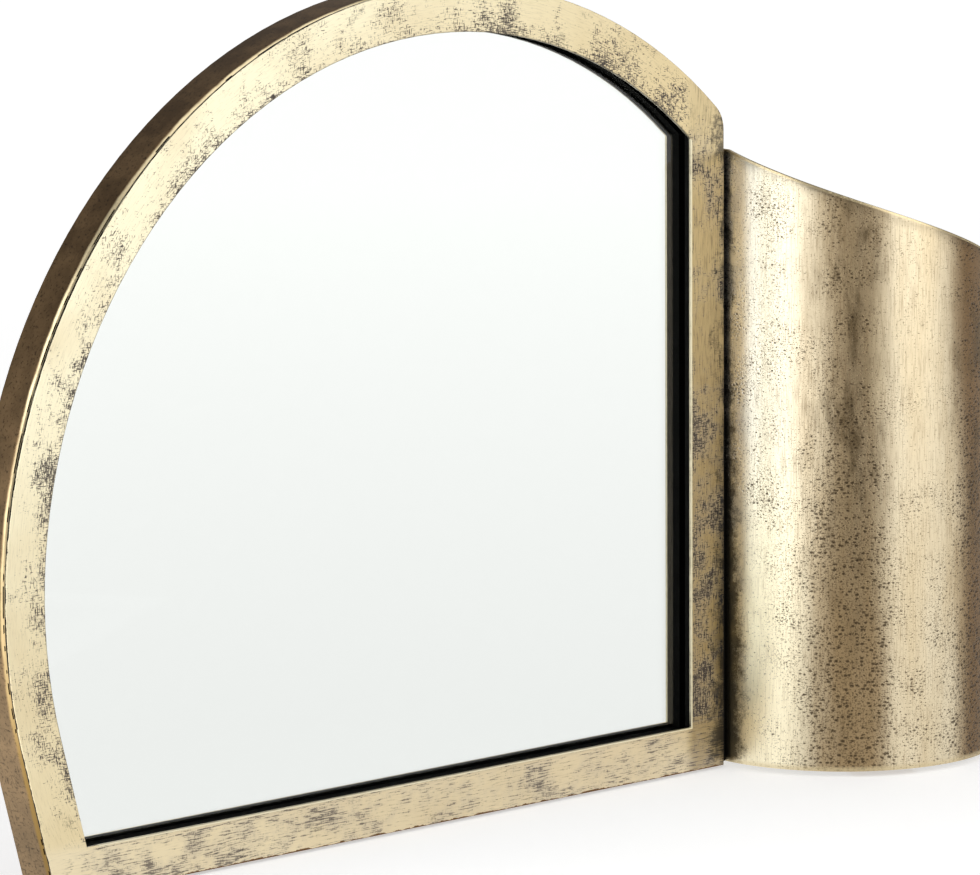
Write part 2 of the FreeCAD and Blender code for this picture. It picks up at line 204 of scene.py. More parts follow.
# Palest at the upper left as a painted highlight, deeper gold towards the foot as painted shade
# over cloudy tone, with a paler base and a brown side that darkens downwards as painted shade
upper_left = add(tree, "Math", {0: z, 1: x}, operation="SUBTRACT")
pale = add(tree, "MapRange", {"Value": upper_left, "From Min": 40 * MM, "From Max": 250 * MM})
deep = add(tree, "MapRange", {"Value": upper_left, "From Min": 40 * MM, "From Max": -160 * MM,
                              "To Max": 0.7})
clouds = add(tree, "TexNoise", {"Vector": place, "Scale": 1 / (40 * MM), "Detail": 4.0})
cloudy = add(tree, "MapRange", {"Value": clouds, "From Min": 0.35, "From Max": 0.7,
                                "To Min": -0.15, "To Max": 0.3})
deep = add(tree, "Math", {0: deep, 1: cloudy}, operation="ADD", use_clamp=True)
base_pale = add(tree, "Math", {0: on_base, 1: 0.4}, operation="MULTIPLY")
side_shade = add(tree, "MapRange", {"Value": z, "From Min": 130 * MM, "From Max": -90 * MM,
                                 "To Min": 0.15, "To Max": 0.76})
brown = add(tree, "Math", {0: on_side, 1: side_shade}, operation="MULTIPLY")
# Brush lines darkest on the side, and a grey haze where toning lies thick on side and base
brush_dark = add(tree, "MapRange", {"Value": on_side, "To Min": 0.18, "To Max": 0.8})
brushed = add(tree, "MapRange", {"Value": lines, "From Min": 0.5, "From Max": 0.7,
                                 "To Max": brush_dark})
haze = add(tree, "MapRange", {"Value": toning, "From Min": 0.38, "From Max": 0.56, "To Max": 0.4})
haze = add(tree, "Math", {0: haze, 1: straight}, operation="MULTIPLY")
# Blue-black toning in the strokes beside the leaf, most of it low down and at the round corner
blotchy = add(tree, "TexNoise", {"Vector": place, "Scale": 1 / (9 * MM), "Detail": 6.0,
                              "Roughness": 0.75})
beside_leaf = add(tree, "MapRange", {"Value": x, "From Min": SIDE - 12 * MM, "From Max": SIDE,
                                     "To Min": -0.22, "To Max": 0.06})
low_down = add(tree, "MapRange", {"Value": z, "From Min": -20 * MM, "From Max": -90 * MM,
                                  "To Max": 0.12})
corner = add(tree, "MapRange", {"Value": z, "From Min": 118 * MM, "From Max": 132 * MM,
                                "To Max": 0.1})
sooty = add(tree, "Math", {0: low_down, 1: corner}, operation="ADD")
sooty = add(tree, "Math", {0: beside_leaf, 1: sooty}, operation="ADD")
sooty = add(tree, "Math", {0: blotchy, 1: sooty}, operation="ADD")
sooty = add(tree, "Math", {0: strokes, 1: 0.7, 2: sooty}, operation="MULTIPLY_ADD")
sooty = add(tree, "MapRange", {"Value": sooty, "From Min": 0.86, "From Max": 1.02, "To Max": 0.8})
# Painted highlight along the straight inner edges, and dark along the round one
above = add(tree, "Math", {0: z, 1: BASE + FACE_WIDTH - HIGHLIGHT_EDGE}, operation="GREATER_THAN")
beside = add(tree, "Math", {0: x, 1: SIDE - FACE_WIDTH + HIGHLIGHT_EDGE}, operation="LESS_THAN")
within = add(tree, "Math", {0: reach, 1: OPENING_R}, operation="LESS_THAN")
edge_highlight = add(tree, "Math", {0: above, 1: beside}, operation="MULTIPLY")
edge_highlight = add(tree, "Math", {0: edge_highlight, 1: within}, operation="MULTIPLY")
round_edge = add(tree, "MapRange", {"Value": reach, "From Min": OPENING_R + 0.5 * MM,
                                    "From Max": OPENING_R + 0.1 * MM, "To Max": 0.7})
round_part = add(tree, "Math", {0: 1.0, 1: straight}, operation="SUBTRACT")
round_edge = add(tree, "Math", {0: round_edge, 1: round_part}, operation="MULTIPLY")
# Brown toning left along the very foot, and the outer wall beside the slit painted black as shade,
# both with gaps
outer = add(tree, "Math", {0: reach, 1: OUTER_R - FACE_WIDTH / 2}, operation="GREATER_THAN")
outer = add(tree, "Math", {0: outer, 1: straight}, operation="MAXIMUM")
unhighlit = add(tree, "Math", {0: 1.0, 1: edge_highlight}, operation="SUBTRACT")
outer = add(tree, "Math", {0: outer, 1: unhighlit}, operation="MULTIPLY")
gaps = add(tree, "TexNoise", {"Vector": place, "Scale": 1 / (5 * MM), "Detail": 3.0,
                              "Roughness": 0.7})
foot = add(tree, "MapRange", {"Value": gaps, "From Min": 0.4, "From Max": 0.6,
                              "To Min": BASE + 0.2 * MM, "To Max": BASE + 0.8 * MM})
foot = add(tree, "Math", {0: z, 1: foot}, operation="LESS_THAN")
shaded_wall = add(tree, "MapRange", {"Value": gaps, "From Min": 0.4, "From Max": 0.6,
                              "To Min": ring_low.y + 0.2 * MM, "To Max": ring_low.y + 0.7 * MM})
depth = add(tree, "SeparateXYZ", {0: place}, "Y")
shaded_wall = add(tree, "Math", {0: depth, 1: shaded_wall}, operation="GREATER_THAN")
shaded_wall = add(tree, "Math", {0: shaded_wall, 1: outer}, operation="MULTIPLY")
painted = add(tree, "MapRange", {"Value": depth, "From Min": ring_high.y - 2 * PAINT_EDGE,
                                 "From Max": ring_high.y - PAINT_EDGE})
# Palest gold with its painted highlight, and over it what wears, tones and paints it and the
# painted shade and highlights, from the lowest layer up
metal = add(tree, "Mix", {0: pale, 6: linear("#DCC99D"), 7: linear("#ECE3C4")}, 2, data_type="RGBA")
for cover, colour in ((deep, "#C4AC7E"), (base_pale, "#EBDFC4"), (brown, "#937E59"),
                      (brushed, "#6F604A"), (haze, "#B3A998"), (faint, "#8F8478"),
                      (dark, "#4A4443"), (sooty, "#3C3B3A"), (edge_highlight, "#EFE5C6"),
                      (round_edge, "#5F584C"), (foot, "#6A4E33"), (shaded_wall, "#1B1611"),
                      (painted, "#171816")):
    metal = add(tree, "Mix", {0: cover, 6: metal, 7: linear(colour)}, 2, data_type="RGBA")
soft = add(tree, "MapRange", {"Value": clouds, "From Min": 0.3, "From Max": 0.7,
                              "To Min": 0.3, "To Max": 0.4})
relief = add(tree, "Math", {0: lines, 1: 0.35}, operation="MULTIPLY")
relief = add(tree, "Math", {0: relief, 1: dark}, operation="SUBTRACT")
finish_shader(tree, shader, {
    "Base Color": metal,
    "Metallic": add(tree, "Math", {0: 1.0, 1: painted}, operation="SUBTRACT"),
    "Roughness": add(tree, "Mix", {0: dark, 2: soft, 3: 0.6}),
    "Normal": add(tree, "Bump", {"Height": relief, "Strength": 0.25, "Distance": 0.08 * MM})})
mount(worn_copy("face_ring", "ring_sheet", RING_RUB), ring_brass, "mirror", "face_ring")

# Arc band and base bar: brass strip rolled to the outline, its front bent in as a flange that
# carries the ring. The arc's ends are welded to the base bar.
LIP = 2.6 * MM               # bend between the side and the flange
band_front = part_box("arc_band")[0].y
# Antique brass left dark: brown toning over the metal, rubbed bright on the bend, where hands and
# cloths reach it, with a painted highlight there that is palest high up, and paler and scuffed low
# down.
band_brass, tree, shader = new_material("antique_brass_toned_strip", Metallic=1.0)
place = add(tree, "TexCoord", out="Object")
spot = add(tree, "SeparateXYZ", {0: place}, out=None)
clouds = add(tree, "TexNoise", {"Vector": place, "Scale": 1 / (15 * MM), "Detail": 4.0,
                                "Roughness": 0.6})
grit = add(tree, "TexNoise", {"Vector": place, "Scale": 1 / (1.1 * MM), "Detail": 4.0,
                              "Roughness": 0.65})
wander = add(tree, "MapRange", {"Value": clouds, "From Min": 0.3, "From Max": 0.7,
                                "To Min": -0.5 * MM, "To Max": 0.5 * MM})
depth = add(tree, "Math", {0: spot.outputs["Y"], 1: wander}, operation="ADD")
wear_and_sheen = add(tree, "MapRange", {"Value": depth, "From Min": band_front + 0.9 * LIP,
                                "From Max": band_front + 0.45 * LIP},
             interpolation_type="SMOOTHSTEP")
low = add(tree, "MapRange", {"Value": spot.outputs["Z"], "From Min": 250 * MM,
                             "From Max": 10 * MM, "To Max": 0.32},
          interpolation_type="SMOOTHSTEP")
cloudy = add(tree, "MapRange", {"Value": clouds, "From Min": 0.4, "From Max": 0.62})
speck = add(tree, "MapRange", {"Value": grit, "From Min": 0.54, "From Max": 0.66, "To Max": 0.7})
upright = add(tree, "CombineXYZ", {0: spot.outputs["Y"], 1: spot.outputs["Z"]})
scuffed = add(tree, "MapRange", {"Value": crossed(tree, upright, 5 * MM, 1.0 * MM), "From Min": 0.6,
                                 "From Max": 0.7, "To Max": 2.2})
scuffed = add(tree, "Math", {0: scuffed, 1: low}, operation="MULTIPLY")
brown = add(tree, "Mix", {0: cloudy, 6: linear("#5F4B34"), 7: linear("#7C6447")}, 2,
            data_type="RGBA")
for cover, colour in ((low, "#B59C78"), (speck, "#362B20"), (scuffed, "#3B3025")):
    brown = add(tree, "Mix", {0: cover, 6: brown, 7: linear(colour)}, 2, data_type="RGBA")
# The bend's colour with its painted highlight: palest high up, darker gold lower down
sheen_fading_down = add(tree, "MapRange", {"Value": spot.outputs["Z"], "From Min": 190 * MM,
                                "From Max": 50 * MM})
bend = add(tree, "Mix", {0: sheen_fading_down, 6: linear("#E6D5AC"), 7: linear("#907545")}, 2,
           data_type="RGBA")
metal = add(tree, "Mix", {0: wear_and_sheen, 6: brown, 7: bend}, 2, data_type="RGBA")
# Painted shade in the slit beside the ring, uneven along it, and a scored line in dashes on the
# bend
ragged = add(tree, "TexNoise", {"Vector": place, "Scale": 1 / (6 * MM), "Detail": 4.0,
                                "Roughness": 0.7})
ragged = add(tree, "MapRange", {"Value": ragged, "From Min": 0.35, "From Max": 0.65,
                                "To Min": band_front + 0.02 * MM,
                                "To Max": band_front + 0.6 * MM})
slit_shade_and_score = add(tree, "Math", {0: spot.outputs["Y"], 1: ragged}, operation="LESS_THAN")
dashes = add(tree, "TexNoise", {"Vector": place, "Scale": 1 / (7 * MM), "Detail": 2.0})
dashes = add(tree, "Math", {0: dashes, 1: 0.52}, operation="GREATER_THAN")
scored = add(tree, "Math", {0: spot.outputs["Y"], 1: band_front + 0.9 * MM, 2: 0.16 * MM},
             operation="COMPARE")
scored = add(tree, "Math", {0: scored, 1: dashes}, operation="MULTIPLY")
slit_shade_and_score = add(tree, "Math", {0: slit_shade_and_score, 1: scored}, operation="MAXIMUM")
metal = add(tree, "Mix", {0: slit_shade_and_score, 6: metal, 7: linear("#120F0C")}, 2, data_type="RGBA")
finish_shader(tree, shader, {
    "Base Color": metal,
    "Roughness": add(tree, "Mix", {0: wear_and_sheen, 2: 0.46, 3: 0.28}),
    "Normal": add(tree, "Bump", {"Height": grit, "Strength": 0.3, "Distance": 0.1 * MM})})
mount(worn_copy("arc_band", "band_strip", 0), band_brass, "mirror", "arc_band")
mount(worn_copy("base_bar", "base_strip", 0), band_brass, "mirror", "base_bar")

# Welds: beads that hold the ring to the flange, and the band's ends to the base bar.
# They are ground a little and toned with the rest, so they stay dull and dark.
weld_brass, tree, shader = new_material("toned_braze", Metallic=1.0)
place = add(tree, "TexCoord", out="Object")
ripple = add(tree, "TexNoise", {"Vector": place, "Scale": 1 / (1.0 * MM), "Detail": 3.0})
finish_shader(tree, shader, {
    "Base Color": add(tree, "Mix", {0: ripple, 6: linear("#4A3B28"), 7: linear("#8C7450")}, 2,
                      data_type="RGBA"),
    "Roughness": add(tree, "MapRange", {"Value": ripple, "To Min": 0.4, "To Max": 0.65}),
    "Normal": add(tree, "Bump", {"Height": ripple, "Strength": 0.6, "Distance": 0.2 * MM})})


def dress(node, material):
    """The material on a node that keeps its own mesh."""
    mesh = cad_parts[node].data
    mesh.materials.clear()
    mesh.materials.append(material)


dress("ring_tacks", weld_brass)
dress("corner_welds", weld_brass)

# Glazing tape: black closed-cell foam stuck to the ring's back, which holds the glass off it.
# It is matt, with fine cells.
foam, tree, shader = new_material("black_foam_tape", Roughness=0.95, Specular_IOR_Level=0.2)
place = add(tree, "TexCoord", out="Object")
cells = add(tree, "TexVoronoi", {"Vector": place, "Scale": 1 / (0.6 * MM)})
finish_shader(tree, shader, {
    "Base Color": add(tree, "Mix", {0: cells, 6: linear("#0C0C0B"), 7: linear("#1C1D1B")}, 2,
                      data_type="RGBA"),
    "Normal": add(tree, "Bump", {"Height": cells, "Strength": 0.5, "Distance": 0.1 * MM})})
dress("glazing_tape", foam)

# Mirror glass: 3 mm float glass, silvered on its back, so that the ring shows twice in it: faintly
# from the glass face, and fully from the silver behind.
glass_low, glass_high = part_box("mirror_glass")
SILVER_T = 0.1 * MM
SILVER_COVER = 0.1 * MM      # how far inside the pane the film ends, at its back and edges
# Clear float glass with polished faces.
clear_glass, tree, shader = new_material("float_glass", Roughness=0.0, IOR=1.5,
                                         Transmission_Weight=1.0)
mount(worn_copy("mirror_glass", "glass_pane", 0), clear_glass, "mirror", "mirror_glass")
silver = worn_copy("mirror_glass", "silvering", 0)
depth_share = SILVER_T / (glass_high.y - glass_low.y)
width_share = 1 - 2 * SILVER_COVER / (glass_high.x - glass_low.x)
# Shrunk towards a point in the pane that lies just ahead of its back
hold_y = glass_high.y - SILVER_COVER / (1 - depth_share)
bpy.ops.object.mode_set(mode="EDIT")
bpy.ops.mesh.select_all(action="SELECT")
bpy.ops.transform.resize(value=(width_share, depth_share, width_share),
                         center_override=(ARC_CENTRE.x, hold_y, ARC_CENTRE.z))
bpy.ops.object.mode_set(mode="OBJECT")
# Silver film seen through the glass: a full, clear reflection.
silver_film, tree, shader = new_material("silver_film", Metallic=1.0, Roughness=0.0)
shader.inputs["Base Color"].default_value = linear("#F9FCF9")
mount(silver, silver_film, "mirror", "mirror_glass")

# Backing board: 3 mm brown hardboard, pressed from wood fibre, cut to the glass and laid behind it
# with its smooth side out. The turn buttons hold it in.
hardboard, tree, shader = new_material("hardboard_smooth_side", Specular_IOR_Level=0.3)
# Short fibres lie every way in a brown, faintly polished face.
place = add(tree, "TexCoord", out="Object")
stretched = add(tree, "Mapping", {"Vector": place, "Scale": (1, 1, 0.3)})
fibre = add(tree, "TexNoise", {"Vector": stretched, "Scale": 1 / (0.9 * MM), "Detail": 4.0,
                               "Roughness": 0.7, "Distortion": 1.5})
mottle = add(tree, "TexNoise", {"Vector": place, "Scale": 1 / (24 * MM), "Detail": 3.0})
matted = add(tree, "MapRange", {"Value": fibre, "From Min": 0.35, "From Max": 0.68})
board = add(tree, "Mix", {0: matted, 6: linear("#6A4A30"), 7: linear("#94714D")}, 2,
            data_type="RGBA")
darker = add(tree, "MapRange", {"Value": mottle, "From Min": 0.4, "From Max": 0.65, "To Max": 0.5})
finish_shader(tree, shader, {
    "Base Color": add(tree, "Mix", {0: darker, 6: board, 7: linear("#5C402A")}, 2,
                      data_type="RGBA"),
    "Roughness": add(tree, "MapRange", {"Value": fibre, "To Min": 0.5, "To Max": 0.75}),
    "Normal": add(tree, "Bump", {"Height": fibre, "Strength": 0.3, "Distance": 0.08 * MM})})
dress("backing_board", hardboard)

# Edge blocks and seam strip: black rubber cut from sheet. The blocks are pushed in round the glass,
# and the strip is clamped in the crevice between frame and leaf.
rubber, tree, shader = new_material("black_rubber_sheet", Roughness=0.85, Specular_IOR_Level=0.3)
# Matt black with a greyish bloom and a fine moulded grain.
place = add(tree, "TexCoord", out="Object")
bloom = add(tree, "TexNoise", {"Vector": place, "Scale": 1 / (7 * MM), "Detail": 4.0})
grain = add(tree, "TexNoise", {"Vector": place, "Scale": 1 / (0.5 * MM), "Detail": 2.0})
finish_shader(tree, shader, {
    "Base Color": add(tree, "Mix", {0: bloom, 6: linear("#070707"), 7: linear("#1B1A19")}, 2,
                      data_type="RGBA"),
    "Normal": add(tree, "Bump", {"Height": grain, "Strength": 0.4, "Distance": 0.05 * MM})})
dress("edge_blocks", rubber)
dress("seam_strip", rubber)

# Tabs, turn buttons, screws, washers and nuts: steel pressings and turned parts. The tabs are
# welded in the band, each button swivels on the screw in its tab, and the rest holds the leaf.
STEEL_RUB = 0.15 * MM
zinc, tree, shader = new_material("zinc_plated_steel", Metallic=1.0)
# Bluish-grey plating with a soft gloss, cloudy spangle and fine handling scratches.
place = add(tree, "TexCoord", out="Object")
spangle = add(tree, "TexVoronoi", {"Vector": place, "Scale": 1 / (2.5 * MM)}, "Color")
grey = add(tree, "RGBToBW", {0: spangle})
stretched = add(tree, "Mapping", {"Vector": place, "Scale": (1, 1, 0.08)})
scratch = add(tree, "TexNoise", {"Vector": stretched, "Scale": 1 / (0.35 * MM), "Detail": 2.0})
tone = add(tree, "Mix", {0: grey, 6: linear("#A7A9A8"), 7: linear("#C6C9C8")}, 2, data_type="RGBA")
scored = add(tree, "MapRange", {"Value": scratch, "From Min": 0.58, "From Max": 0.7, "To Max": 0.5})
finish_shader(tree, shader, {
    "Base Color": add(tree, "Mix", {0: scored, 6: tone, 7: linear("#77776F")}, 2, data_type="RGBA"),
    "Roughness": add(tree, "MapRange", {"Value": scratch, "To Min": 0.28, "To Max": 0.48}),
    "Normal": add(tree, "Bump", {"Height": scratch, "Strength": 0.2, "Distance": 0.04 * MM})})
steel = [("button_tabs", "mirror", "tab_steel"), ("pivot_screws", "mirror", "screw_steel")]
steel += [("turn_button_%d" % n, "button_%d" % n, "button_steel") for n in range(1, 7)]
steel += [(node, "mirror", "screw_steel") for node in ("leaf_screws", "leaf_washers", "leaf_nuts")]
for node, body, slot in steel:
    mount(worn_copy(node, node + "_plated", STEEL_RUB), zinc, body, node)

# Curved leaf: brass sheet rolled to a half round with a straight leg at each side, its rim cut on a
# slope. It is hammered, brushed upright and toned, and screwed to the frame through one leg.
LEAF_T = 1.5 * MM
RIM_SLOPE = 0.29             # fall of the rim for each millimetre round the leaf
RIM_BEND = 0.0005 / MM       # growth of that fall
RIM_RUB = 0.4 * MM           # rounding of the rubbed rim and foot
DENT_SPACING = 9 * MM        # between hammer marks
DENT_DEPTH = 0.12 * MM
TOUCH = 0.01 * MM            # points this close together are one point
ROLL_STEPS = 128
RISE_STEPS = 99
leaf_low, leaf_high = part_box("curved_leaf")
LEAF_R = (leaf_high.x - leaf_low.x) / 2
LEAF_X, LEAF_Y = leaf_low.x + LEAF_R, leaf_low.y + LEAF_R
LEG = leaf_high.y - LEAF_Y
LEAF_H = leaf_high.z - leaf_low.z
bpy.ops.object.select_all(action="DESELECT")
bpy.ops.mesh.primitive_plane_add(size=1, rotation=(0, math.radians(90), 0),
                                 location=(leaf_low.x, LEAF_Y + LEG / 2, leaf_low.z + LEAF_H / 2))
leaf = bpy.context.object
leaf.name = "leaf_sheet"
leaf.dimensions = (LEAF_H, LEG, 0)
bpy.ops.object.transform_apply(location=True, rotation=True, scale=True)


def select_lines(piece, wanted):
    """Selects the edges whose two ends pass the test, and leaves the piece in edit mode."""
    bpy.ops.object.mode_set(mode="EDIT")
    bpy.ops.mesh.select_mode(type="EDGE")
    bpy.ops.mesh.select_all(action="DESELECT")
    bpy.ops.object.mode_set(mode="OBJECT")
    points = piece.data.vertices
    for line in piece.data.edges:
        line.select = wanted(points[line.vertices[0]].co, points[line.vertices[1]].co)
    bpy.ops.object.mode_set(mode="EDIT")


def at_front_of_leg(a, b):
    """Whether a line stands where the near or the far leg meets the half round."""
    return max(abs(a.y - LEAF_Y), abs(b.y - LEAF_Y)) < TOUCH


select_lines(leaf, at_front_of_leg)
bpy.ops.mesh.spin(steps=ROLL_STEPS, angle=-math.pi, center=(LEAF_X, LEAF_Y, 0), axis=(0, 0, 1))
select_lines(leaf, lambda a, b: at_front_of_leg(a, b) and a.x > LEAF_X)
bpy.ops.mesh.extrude_region_move(TRANSFORM_OT_translate={"value": (0, LEG, 0)})
bpy.ops.mesh.select_all(action="SELECT")
bpy.ops.mesh.remove_doubles(threshold=TOUCH)
select_lines(leaf, lambda a, b: abs(a.z - b.z) > LEAF_H / 2)
bpy.ops.mesh.subdivide(number_cuts=RISE_STEPS)
bpy.ops.mesh.select_all(action="SELECT")
bpy.ops.mesh.normals_make_consistent(inside=False)
bpy.ops.object.mode_set(mode="OBJECT")
# The rim is cut down along its slope, and the rows below it close up evenly
for vertex in leaf.data.vertices:
    ahead, aside = LEAF_Y - vertex.co.y, LEAF_X - vertex.co.x
    run = LEAF_R * math.atan2(max(ahead, 0), aside)
    if aside < 0:
        run += max(-ahead, 0)
    fall = RIM_SLOPE * run + RIM_BEND * run ** 2
    vertex.co.z -= fall * (vertex.co.z - leaf_low.z) / LEAF_H
dents = bpy.data.textures.new("hammer marks", "CLOUDS")
dents.noise_scale = DENT_SPACING
dents.noise_depth = 1
hammered = leaf.modifiers.new("hammered", "DISPLACE")
hammered.texture = dents
hammered.texture_coords = "LOCAL"
hammered.strength = DENT_DEPTH
hammered.mid_level = 0.75    # most of the marks lie below the sheet's face
sheet = leaf.modifiers.new("sheet", "SOLIDIFY")
sheet.thickness = LEAF_T
sheet.offset = -1
rim = leaf.modifiers.new("rubbed rim", "BEVEL")
rim.width = RIM_RUB
rim.segments = 2
rim.limit_method = "ANGLE"
rim.angle_limit = math.radians(55)
for modifier in (hammered.name, sheet.name, rim.name):
    bpy.ops.object.modifier_apply(modifier=modifier)
bpy.ops.object.shade_smooth_by_angle(angle=math.radians(40))

# Antique brass, hammered and brushed upright: pale gold with a painted highlight on the flank,
# brown upright bands of toning and painted reflection, painted shade where it turns away, dark pits
# that crowd downwards, greenish black soot and painted shade beside the crevice, and rubbed edges
# with a painted highlight and shade at the rim.
leaf_brass, tree, shader = new_material("antique_brass_hammered_leaf", Metallic=1.0)
# Distances round the leaf where each band of toning and painted reflection starts, is full, starts
# to fade and is gone
TONE_AND_REFLECTION_BANDS = ((27 * MM, 49 * MM, 55 * MM, 66 * MM), (80 * MM, 102 * MM, 114 * MM, 130 * MM))
WIDER = 2 * MM               # what the first band gains at each side towards the foot
NARROWER = 5.5 * MM          # what the second one loses at each side below the middle
place = add(tree, "TexCoord", out="Object")
centred = add(tree, "VectorMath", {0: (LEAF_X, LEAF_Y, 0), 1: place}, operation="SUBTRACT")
spot = add(tree, "SeparateXYZ", {0: centred}, out=None)
# Distance round the leaf from where the near leg ends: negative on that leg, growing on the far one
ahead = add(tree, "Math", {0: spot.outputs["Y"], 1: 0.0}, operation="MAXIMUM")
behind = add(tree, "Math", {0: spot.outputs["Y"], 1: 0.0}, operation="MINIMUM")
turn = add(tree, "Math", {0: ahead, 1: spot.outputs["X"]}, operation="ARCTAN2")
near = add(tree, "Math", {0: spot.outputs["X"]}, operation="SIGN")
run = add(tree, "Math", {0: behind, 1: near}, operation="MULTIPLY")
run = add(tree, "Math", {0: turn, 1: LEAF_R, 2: run}, operation="MULTIPLY_ADD")
high = add(tree, "Math", {0: -leaf_low.z, 1: spot.outputs["Z"]}, operation="SUBTRACT")
rolled_out = add(tree, "CombineXYZ", {0: run, 1: high})
# Brushing in dashes up to 12 mm long, and toned bands some 14 mm wide
stretched = add(tree, "Mapping", {"Vector": rolled_out, "Scale": (1 / BRUSH_GAP, 1 / (12 * MM), 1)})
streaks = add(tree, "TexNoise", {"Vector": stretched, "Scale": 1.0, "Detail": 4.0,
                                 "Roughness": 0.7})
stretched = add(tree, "Mapping", {"Vector": rolled_out,
                                  "Scale": (1 / (14 * MM), 1 / (90 * MM), 1)})
bands = add(tree, "TexNoise", {"Vector": stretched, "Scale": 1.0, "Detail": 3.0})
toned = add(tree, "MapRange", {"Value": bands, "From Min": 0.42, "From Max": 0.65, "To Max": 0.3})
# The flank beside the frame is rubbed pale and painted with a highlight, golden low down and
# whitest close to the crevice above
flank_sheen = add(tree, "MapRange", {"Value": run, "From Min": 38 * MM, "From Max": 23 * MM})
high_up = add(tree, "MapRange", {"Value": high, "From Min": 60 * MM, "From Max": 130 * MM})
beside = add(tree, "MapRange", {"Value": run, "From Min": 17 * MM, "From Max": 11 * MM})
whitest_sheen = add(tree, "Mix", {0: beside, 6: linear("#E2D9C2"), 7: linear("#FFF8E8")}, 2,
             data_type="RGBA")
wear_and_sheen = add(tree, "Mix", {0: high_up, 6: linear("#FBF1D1"), 7: whitest_sheen}, 2, data_type="RGBA")
# Brown in two soft upright bands, toning and painted reflection: downwards one grows wider, the
# other narrower
wavy = add(tree, "MapRange", {"Value": bands, "To Min": -8 * MM, "To Max": 8 * MM})
brown_run = add(tree, "Math", {0: run, 1: wavy}, operation="ADD")
wider = add(tree, "MapRange", {"Value": high, "From Min": 110 * MM, "From Max": 50 * MM,
                               "To Max": WIDER})
narrower = add(tree, "MapRange", {"Value": high, "From Min": 150 * MM, "From Max": 100 * MM,
                                  "To Max": NARROWER})
browns = []
for (rise, full, fade, gone), shift, way in zip(TONE_AND_REFLECTION_BANDS, (wider, narrower), (1, -1)):
    early = add(tree, "Math", {0: shift, 1: way, 2: brown_run}, operation="MULTIPLY_ADD")
    late = add(tree, "Math", {0: shift, 1: -way, 2: brown_run}, operation="MULTIPLY_ADD")
    before = add(tree, "MapRange", {"Value": early, "From Min": rise, "From Max": full},
                 interpolation_type="SMOOTHSTEP")
    after = add(tree, "MapRange", {"Value": late, "From Min": gone, "From Max": fade},
                interpolation_type="SMOOTHSTEP")
    browns.append(add(tree, "Math", {0: before, 1: after}, operation="MULTIPLY"))
brown = add(tree, "Math", {0: browns[0], 1: browns[1]}, operation="MAXIMUM")
brown_tone_and_reflection = add(tree, "MapRange", {"Value": wider, "From Max": WIDER,
                                    "To Min": 0.66, "To Max": 0.8})
brown_tone_and_reflection = add(tree, "Math", {0: brown, 1: brown_tone_and_reflection}, operation="MULTIPLY")
# Painted shade, deepest past the second band's start, where the leaf turns away
shifted = add(tree, "Math", {0: run, 1: narrower}, operation="SUBTRACT")
deep = add(tree, "MapRange", {"Value": shifted, "From Min": 86 * MM, "From Max": 99 * MM,
                              "To Max": 0.85}, interpolation_type="SMOOTHSTEP")
ended = add(tree, "MapRange", {"Value": run, "From Min": 130 * MM, "From Max": 110 * MM},
            interpolation_type="SMOOTHSTEP")
deep = add(tree, "Math", {0: deep, 1: ended}, operation="MULTIPLY")
# Darker smudges in the bands, random in shape, weighted high up as painted reflection
stretched = add(tree, "Mapping", {"Vector": rolled_out, "Scale": (1 / (9 * MM), 1 / (24 * MM), 1)})
smudge_and_reflection = add(tree, "TexNoise", {"Vector": stretched, "Scale": 1.0, "Detail": 5.0,
                                "Roughness": 0.65})
smudge_and_reflection = add(tree, "MapRange", {"Value": smudge_and_reflection, "From Min": 0.49, "From Max": 0.64, "To Max": 0.7})
smudge_and_reflection = add(tree, "Math", {0: smudge_and_reflection, 1: brown}, operation="MULTIPLY")
upper = add(tree, "MapRange", {"Value": high, "From Min": 60 * MM, "From Max": 110 * MM,
                               "To Min": 0.3})
smudge_and_reflection = add(tree, "Math", {0: smudge_and_reflection, 1: upper}, operation="MULTIPLY")
brush_dark = add(tree, "MapRange", {"Value": flank_sheen, "To Min": 0.55, "To Max": 0.35})
brushed = add(tree, "MapRange", {"Value": streaks, "From Min": 0.5, "From Max": 0.7,
                                 "To Max": brush_dark})
# Dark pits up to 1.5 mm wide, crowded low on the sheet, in the brown and high on the flank, with
# short strokes between them
areas = add(tree, "TexNoise", {"Vector": rolled_out, "Scale": 1 / (18 * MM), "Detail": 4.0})
areas = add(tree, "MapRange", {"Value": areas, "From Min": 0.3, "From Max": 0.7,
                               "To Min": -0.45, "To Max": 0.35})
lower = add(tree, "MapRange", {"Value": high, "From Min": 170 * MM, "From Max": 30 * MM})
turned = add(tree, "MapRange", {"Value": run, "From Min": 10 * MM, "From Max": 38 * MM})
lower = add(tree, "Math", {0: lower, 1: turned}, operation="MULTIPLY")
lower = add(tree, "Math", {0: lower, 1: 0.72}, operation="MULTIPLY")
crowd = add(tree, "Math", {0: brown, 1: 0.75, 2: areas}, operation="MULTIPLY_ADD")
crumbs = add(tree, "Math", {0: flank_sheen, 1: upper}, operation="MULTIPLY")
crowd = add(tree, "Math", {0: crumbs, 1: 0.5, 2: crowd}, operation="MULTIPLY_ADD")
crowd = add(tree, "Math", {0: crowd, 1: lower}, operation="ADD", use_clamp=True)
ragged = add(tree, "TexNoise", {"Vector": rolled_out, "Scale": 1 / (0.6 * MM), "Detail": 2.0})
ragged = add(tree, "MapRange", {"Value": ragged, "To Min": -0.3, "To Max": 0.3})
spread = add(tree, "MapRange", {"Value": crowd, "To Min": 0.63, "To Max": 0.595})
spread = add(tree, "Math", {0: areas, 1: -0.06, 2: spread}, operation="MULTIPLY_ADD")
spread_top = add(tree, "Math", {0: spread, 1: 0.07}, operation="ADD")
strokes = add(tree, "MapRange", {"Value": crossed(tree, rolled_out, 1.5 * MM, 0.5 * MM),
                                 "From Min": spread, "From Max": spread_top, "To Max": 0.75})
pits = []
